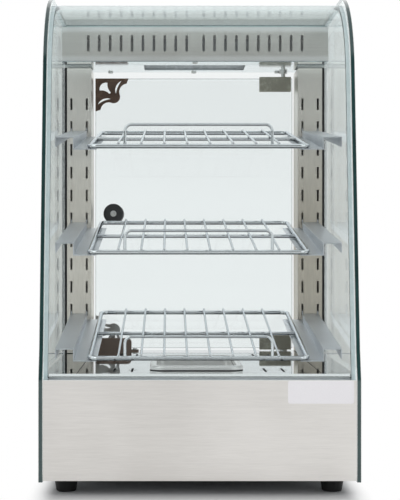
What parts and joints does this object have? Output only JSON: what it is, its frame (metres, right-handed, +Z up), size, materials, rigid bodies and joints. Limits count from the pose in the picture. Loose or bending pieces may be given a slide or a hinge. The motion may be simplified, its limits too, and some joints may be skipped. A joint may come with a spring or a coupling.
{
  "type": "heated display case",
  "caption": "Countertop heated display case: shaped glass sides, curved glass front, wire shelves on hooked brackets, rear glass door, heated steel base and lit canopy.",
  "frame": {"origin": "centre of the case's footprint on the counter, at the underside of the feet", "axes": "+X to the right seen from the front, +Y to the rear (door side), +Z up; the front is at -Y"},
  "size_m": [0.365, 0.418, 0.59],
  "materials": {
    "brushed": "brushed",
    "galvanised": "satin",
    "mirror_steel": "polished",
    "satin_steel": "satin",
    "shelf_chrome": "polished",
    "clear_glass": "clear, green edge",
    "clear_bead": "satin",
    "black_rubber": "matte",
    "black_plastic": "satin",
    "red_plastic": "gloss",
    "green_plastic": "gloss",
    "amber_lens": "gloss",
    "cream_plastic": "matte",
    "cable": "matte",
    "element_steel": "dull",
    "screw_steel": "bright",
    "hinge_metal": "satin",
    "bronze": "satin, dark bronze",
    "brown_plastic": "satin",
    "lamp_glass": "frosted",
    "label_white": "smooth"
  },
  "bodies": {
    "case": {"base_shell": "brushed", "bottom_cover": "galvanised", "rear_panel": "brushed", "foot_front_left": "black_rubber", "foot_front_right": "black_rubber", "foot_rear_left": "black_rubber", "foot_rear_right": "black_rubber", "foot_screws": "screw_steel", "floor_plate": "mirror_steel", "floor_strip_left": "mirror_steel", "floor_strip_right": "mirror_steel", "heat_shield": "galvanised", "heating_element": "element_steel", "element_clips": "galvanised", "thermostat_body": "black_plastic", "sensor_bulb": "element_steel", "power_switch": "black_plastic", "light_switch": "black_plastic", "pilot_lamp": "amber_lens", "power_inlet": "black_plastic", "terminal_block": "cream_plastic", "wiring": "cable", "post_left": "satin_steel", "post_right": "satin_steel", "post_seals": "black_rubber", "bracket_low_left": "satin_steel", "bracket_low_right": "satin_steel", "bracket_middle_left": "satin_steel", "bracket_middle_right": "satin_steel", "bracket_top_left": "satin_steel", "bracket_top_right": "satin_steel", "side_glass_left": "clear_glass", "side_glass_right": "clear_glass", "front_glass": "clear_glass", "glass_seals": "clear_bead", "canopy_header": "brushed", "ceiling_panel": "mirror_steel", "canopy_rear": "brushed", "canopy_top": "brushed", "lamp_reflector": "galvanised", "lamp_holders": "cream_plastic", "lamp_tube": "lamp_glass", "pivot_bushes": "screw_steel", "magnetic_catch": "brown_plastic", "panel_screws": "screw_steel", "label": "label_white"},
    "door": {"door_glass": "clear_glass", "hinge_plates": "hinge_metal", "hinge_pins": "screw_steel", "door_knob": "black_plastic", "door_screws": "screw_steel", "corner_plates": "bronze"},
    "shelf_low_body": {"shelf_low": "shelf_chrome"},
    "shelf_middle_body": {"shelf_middle": "shelf_chrome"},
    "shelf_top_body": {"shelf_top": "shelf_chrome"},
    "water_tray_body": {"water_tray": "mirror_steel"},
    "thermostat_knob_body": {"thermostat_knob": "black_plastic"},
    "power_rocker_body": {"power_rocker": "red_plastic"},
    "light_rocker_body": {"light_rocker": "green_plastic"}
  },
  "joints": [
    {"name": "door_hinge", "type": "hinge", "parent": "case", "child": "door", "pos_m": [0.126, 0.1825, 0.33], "axis": [0, 0, -1], "range_deg": [0, 110]},
    {"name": "shelf_low_lift", "type": "slide", "parent": "case", "child": "shelf_low_body", "axis": [0, 0, 1], "range_m": [0, 0.014]},
    {"name": "shelf_middle_lift", "type": "slide", "parent": "case", "child": "shelf_middle_body", "axis": [0, 0, 1], "range_m": [0, 0.014]},
    {"name": "shelf_top_lift", "type": "slide", "parent": "case", "child": "shelf_top_body", "axis": [0, 0, 1], "range_m": [0, 0.014]},
    {"name": "water_tray_lift", "type": "slide", "parent": "case", "child": "water_tray_body", "axis": [0, 0, 1], "range_m": [0, 0.004]},
    {"name": "thermostat_turn", "type": "hinge", "parent": "case", "child": "thermostat_knob_body", "pos_m": [0.04, 0.191, 0.076], "axis": [0, -1, 0], "range_deg": [0, 270]},
    {"name": "power_rocker_tip", "type": "hinge", "parent": "case", "child": "power_rocker_body", "pos_m": [-0.12, 0.1895, 0.076], "axis": [1, 0, 0], "range_deg": [0, 18]},
    {"name": "light_rocker_tip", "type": "hinge", "parent": "case", "child": "light_rocker_body", "pos_m": [-0.088, 0.1895, 0.076], "axis": [1, 0, 0], "range_deg": [0, 18]}
  ]
}
